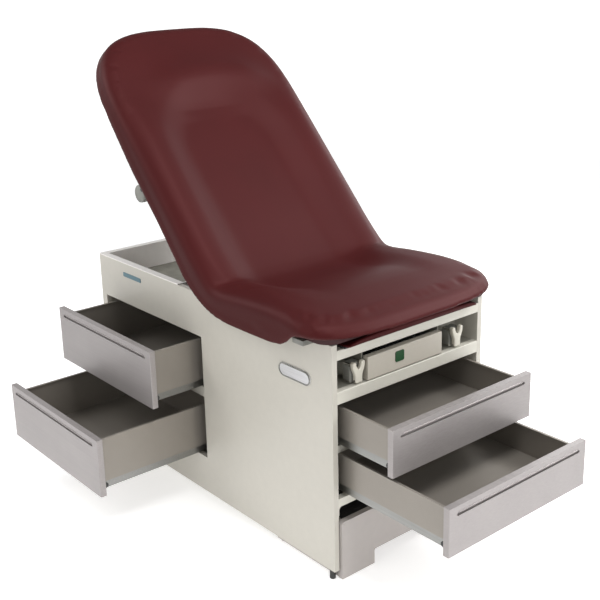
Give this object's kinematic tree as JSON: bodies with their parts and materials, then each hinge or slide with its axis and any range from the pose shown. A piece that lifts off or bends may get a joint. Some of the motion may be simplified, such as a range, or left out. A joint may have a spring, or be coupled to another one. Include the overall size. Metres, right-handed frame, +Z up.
{
  "type": "examination couch",
  "caption": "Examination couch with a cabinet base, contoured upholstery, tilting backrest, side and front drawers, stirrups, treatment pan, leg rest and pull-out step.",
  "frame": {"origin": "on the floor under the centre of the cabinet", "axes": "+X towards the foot end, +Y towards the left side of a patient lying on it, +Z up"},
  "size_m": [1.651, 1.066, 1.5014],
  "materials": {
    "cabinet_paint": "satin",
    "step_paint": "satin",
    "tray_paint": "satin",
    "tray_grey": "matte",
    "rail_paint": "satin",
    "inner_steel": "satin",
    "frame_steel": "satin",
    "zinc_steel": "satin",
    "black_plastic": "matte",
    "plate_metal": "satin",
    "strip_plastic": "gloss",
    "badge_plastic": "gloss",
    "board_paint": "matte",
    "cushion_foam": "satin",
    "upholstery": "satin",
    "grey_plastic": "satin",
    "pan_paint": "satin",
    "stainless": "brushed",
    "stirrup_bar_steel": "polished",
    "cream_plastic": "satin",
    "drawer_front_paint": "satin",
    "drawer_box_steel": "satin",
    "step_rubber": "matte"
  },
  "bodies": {
    "cabinet": {"side_panel_right": "cabinet_paint", "side_panel_left": "cabinet_paint", "head_panel": "cabinet_paint", "top_tray": "tray_paint", "tray_liner": "tray_grey", "inner_walls": "inner_steel", "side_drawer_rail": "rail_paint", "top_rail": "rail_paint", "pan_rail": "rail_paint", "front_drawer_rail": "rail_paint", "step_rail": "rail_paint", "front_shelf": "inner_steel", "stirrup_housings": "inner_steel", "leg_rest_guides": "inner_steel", "seat_strips": "inner_steel", "cross_beams": "frame_steel", "hinge_plates": "frame_steel", "hinge_pins": "zinc_steel", "angle_locks": "frame_steel", "step_guides": "inner_steel", "glides": "black_plastic", "drawer_channels": "zinc_steel", "oval_plate": "plate_metal", "name_strip": "strip_plastic", "panel_screws": "zinc_steel", "seat_board": "board_paint", "seat_cushion": "cushion_foam", "seat_clips": "grey_plastic"},
    "backrest": {"back_board": "board_paint", "back_cushion": "cushion_foam", "hinge_arms": "frame_steel", "back_stiffeners": "frame_steel", "lever_brackets": "frame_steel"},
    "lever_right": {"release_lever_right": "grey_plastic"},
    "lever_left": {"release_lever_left": "grey_plastic"},
    "leg_rest": {"leg_rest_board": "frame_steel", "leg_rest_pad": "upholstery"},
    "treatment_pan": {"pan_front": "pan_paint", "pan_tray": "stainless", "pan_badge": "badge_plastic"},
    "stirrup_right": {"stirrup_right_bar": "stirrup_bar_steel"},
    "stirrup_left": {"stirrup_left_bar": "stirrup_bar_steel"},
    "cup_right": {"stirrup_right_cup": "cream_plastic"},
    "cup_left": {"stirrup_left_cup": "cream_plastic"},
    "step": {"step_front": "step_paint", "step_body": "step_paint", "step_mat": "step_rubber"},
    "drawer_front_upper": {"front_upper_front": "drawer_front_paint", "front_upper_box": "drawer_box_steel", "front_upper_runners": "zinc_steel"},
    "drawer_front_lower": {"front_lower_front": "drawer_front_paint", "front_lower_box": "drawer_box_steel", "front_lower_runners": "zinc_steel"},
    "drawer_side_upper": {"side_upper_front": "drawer_front_paint", "side_upper_box": "drawer_box_steel", "side_upper_runners": "zinc_steel"},
    "drawer_side_lower": {"side_lower_front": "drawer_front_paint", "side_lower_box": "drawer_box_steel", "side_lower_runners": "zinc_steel"}
  },
  "joints": [
    {"name": "backrest_hinge", "type": "hinge", "parent": "cabinet", "child": "backrest", "pos_m": [0.084, 0, 0.709], "axis": [0, 1, 0], "range_deg": [-47, 33]},
    {"name": "lever_right_hinge", "type": "hinge", "parent": "backrest", "child": "lever_right", "pos_m": [-0.21628, -0.3435, 1.02514], "axis": [0, 1, 0], "range_deg": [0, 20], "stiffness_Nm_per_rad": 0.6},
    {"name": "lever_left_hinge", "type": "hinge", "parent": "backrest", "child": "lever_left", "pos_m": [-0.21628, 0.3435, 1.02514], "axis": [0, 1, 0], "range_deg": [0, 20], "stiffness_Nm_per_rad": 0.6},
    {"name": "leg_rest_slide", "type": "slide", "parent": "cabinet", "child": "leg_rest", "axis": [1, 0, 0], "range_m": [0, 0.36]},
    {"name": "pan_slide", "type": "slide", "parent": "cabinet", "child": "treatment_pan", "axis": [1, 0, 0], "range_m": [0, 0.22]},
    {"name": "stirrup_right_slide", "type": "slide", "parent": "cabinet", "child": "stirrup_right", "axis": [1, 0, 0], "range_m": [0, 0.25]},
    {"name": "stirrup_left_slide", "type": "slide", "parent": "cabinet", "child": "stirrup_left", "axis": [1, 0, 0], "range_m": [0, 0.25]},
    {"name": "cup_right_hinge", "type": "hinge", "parent": "stirrup_right", "child": "cup_right", "pos_m": [0.61, -0.202, 0.592], "axis": [0, 1, 0], "range_deg": [0, 90]},
    {"name": "cup_left_hinge", "type": "hinge", "parent": "stirrup_left", "child": "cup_left", "pos_m": [0.61, 0.202, 0.592], "axis": [0, 1, 0], "range_deg": [0, 90]},
    {"name": "front_upper_slide", "type": "slide", "parent": "cabinet", "child": "drawer_front_upper", "axis": [1, 0, 0], "range_m": [-0.21, 0.22]},
    {"name": "front_lower_slide", "type": "slide", "parent": "cabinet", "child": "drawer_front_lower", "axis": [1, 0, 0], "range_m": [-0.408, 0.022]},
    {"name": "side_upper_slide", "type": "slide", "parent": "cabinet", "child": "drawer_side_upper", "axis": [0, -1, 0], "range_m": [-0.19, 0.21]},
    {"name": "side_lower_slide", "type": "slide", "parent": "cabinet", "child": "drawer_side_lower", "axis": [0, -1, 0], "range_m": [-0.391, 0.019]},
    {"name": "step_slide", "type": "slide", "parent": "cabinet", "child": "step", "axis": [1, 0, 0], "range_m": [-0.01, 0.25]}
  ]
}
